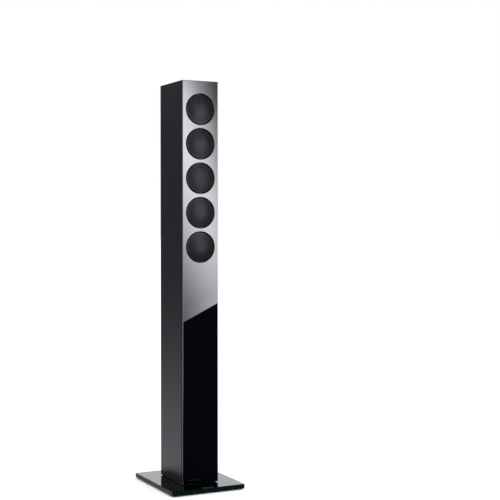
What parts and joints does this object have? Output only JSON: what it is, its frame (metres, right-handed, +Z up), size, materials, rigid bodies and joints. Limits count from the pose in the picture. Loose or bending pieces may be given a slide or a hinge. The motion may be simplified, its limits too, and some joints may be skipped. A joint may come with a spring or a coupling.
{
  "type": "floorstanding speaker",
  "caption": "Slim column loudspeaker with a full-height gloss black glass front, round perforated driver grilles and a flat glass base plate.",
  "frame": {"origin": "on the floor, under the middle of the base plate", "axes": "+Z up; the glass front faces -Y; +X is to the right of someone who faces the front"},
  "size_m": [0.212, 0.264, 1.1],
  "materials": {
    "black_glass": "polished, black backed",
    "satin_black_metal": "satin black lacquer over extruded aluminium",
    "plain_aluminium": "brushed",
    "grille_metal": "satin black, perforated",
    "cast_frame": "black powder coat on a casting",
    "zinc_steel": "zinc plated",
    "black_screw": "black oxide",
    "ferrite": "ground ferrite",
    "black_rubber": "matte",
    "surround_rubber": "satin",
    "black_foam_tape": "matte",
    "black_moulding": "fine moulded grain",
    "cone_composite": "satin woven composite",
    "dome_fabric": "doped fabric",
    "spider_cloth": "resin-set cloth",
    "copper_winding": "enamelled wire",
    "gold_brass": "gold plated",
    "red_cap": "gloss",
    "black_cap": "gloss",
    "circuit_board": "solder mask",
    "white_nylon": "natural nylon",
    "capacitor_film": "wrapped film",
    "white_ceramic": "fired ceramic",
    "cable_jacket": "soft jacket",
    "wadding": "loose fibre"
  },
  "bodies": {
    "cabinet": {"badge_strip": "plain_aluminium", "base_feet": "black_rubber", "base_plate": "black_glass", "base_screws": "zinc_steel", "binding_posts": "gold_brass", "board_standoffs": "white_nylon", "bottom_plate": "satin_black_metal", "cabinet_tube": "satin_black_metal", "crossover_board": "circuit_board", "crossover_capacitors": "capacitor_film", "crossover_coils": "copper_winding", "crossover_resistors": "white_ceramic", "damping_wool": "wadding", "driver_gaskets": "black_rubber", "driver_grilles": "grille_metal", "driver_screws": "black_screw", "end_plate_screws": "black_screw", "front_panel": "black_glass", "panel_tape": "black_foam_tape", "plinth_spacer": "black_rubber", "port_tube": "black_moulding", "post_nuts": "gold_brass", "screw_sleeves": "black_moulding", "terminal_cup": "black_moulding", "terminal_screws": "black_screw", "top_plate": "satin_black_metal", "top_trim": "satin_black_metal", "tweeter_faceplate": "cast_frame", "tweeter_magnet": "ferrite", "tweeter_rear_cup": "black_moulding", "tweeter_surround": "surround_rubber", "tweeter_top_plate": "zinc_steel", "tweeter_yoke": "zinc_steel", "wiring": "cable_jacket", "woofer_1_spider": "spider_cloth", "woofer_1_surround": "surround_rubber", "woofer_2_spider": "spider_cloth", "woofer_2_surround": "surround_rubber", "woofer_4_spider": "spider_cloth", "woofer_4_surround": "surround_rubber", "woofer_5_spider": "spider_cloth", "woofer_5_surround": "surround_rubber", "woofer_baskets": "cast_frame", "woofer_magnets": "ferrite", "woofer_top_plates": "zinc_steel", "woofer_yokes": "zinc_steel"},
    "woofer_1": {"woofer_1_cone": "cone_composite", "woofer_1_coil": "copper_winding"},
    "woofer_2": {"woofer_2_cone": "cone_composite", "woofer_2_coil": "copper_winding"},
    "woofer_4": {"woofer_4_cone": "cone_composite", "woofer_4_coil": "copper_winding"},
    "woofer_5": {"woofer_5_cone": "cone_composite", "woofer_5_coil": "copper_winding"},
    "tweeter_diaphragm": {"tweeter_dome": "dome_fabric", "tweeter_coil": "copper_winding"},
    "red_washer": {"red_post_washer": "gold_brass"},
    "red_cap": {"red_post_cap": "red_cap"},
    "black_washer": {"black_post_washer": "gold_brass"},
    "black_cap": {"black_post_cap": "black_cap"}
  },
  "joints": [
    {"name": "woofer_1_stroke", "type": "slide", "parent": "cabinet", "child": "woofer_1", "axis": [0, -1, 0], "range_m": [-0.003, 0.003], "stiffness_N_per_m": 700, "deforming": ["woofer_1_surround", "woofer_1_spider"]},
    {"name": "woofer_2_stroke", "type": "slide", "parent": "cabinet", "child": "woofer_2", "axis": [0, -1, 0], "range_m": [-0.003, 0.003], "stiffness_N_per_m": 700, "deforming": ["woofer_2_surround", "woofer_2_spider"]},
    {"name": "woofer_4_stroke", "type": "slide", "parent": "cabinet", "child": "woofer_4", "axis": [0, -1, 0], "range_m": [-0.003, 0.003], "stiffness_N_per_m": 700, "deforming": ["woofer_4_surround", "woofer_4_spider"]},
    {"name": "woofer_5_stroke", "type": "slide", "parent": "cabinet", "child": "woofer_5", "axis": [0, -1, 0], "range_m": [-0.003, 0.003], "stiffness_N_per_m": 700, "deforming": ["woofer_5_surround", "woofer_5_spider"]},
    {"name": "tweeter_stroke", "type": "slide", "parent": "cabinet", "child": "tweeter_diaphragm", "axis": [0, -1, 0], "range_m": [-0.00025, 0.00025], "stiffness_N_per_m": 500, "deforming": ["tweeter_surround"]},
    {"name": "red_cap_travel", "type": "slide", "parent": "cabinet", "child": "red_washer", "axis": [0, 1, 0], "range_m": [0, 0.003]},
    {"name": "red_cap_turn", "type": "hinge", "parent": "red_washer", "child": "red_cap", "pos_m": [0.0095, 0.07, 0.1], "axis": [0, 1, 0], "range_deg": [0, 1080.01]},
    {"name": "black_cap_travel", "type": "slide", "parent": "cabinet", "child": "black_washer", "axis": [0, 1, 0], "range_m": [0, 0.003]},
    {"name": "black_cap_turn", "type": "hinge", "parent": "black_washer", "child": "black_cap", "pos_m": [-0.0095, 0.07, 0.1], "axis": [0, 1, 0], "range_deg": [0, 1080.01]}
  ],
  "couplings": [
    {"joint": "red_cap_turn", "follows": "red_cap_travel", "rad_per_m": 6283.2},
    {"joint": "black_cap_turn", "follows": "black_cap_travel", "rad_per_m": 6283.2}
  ]
}
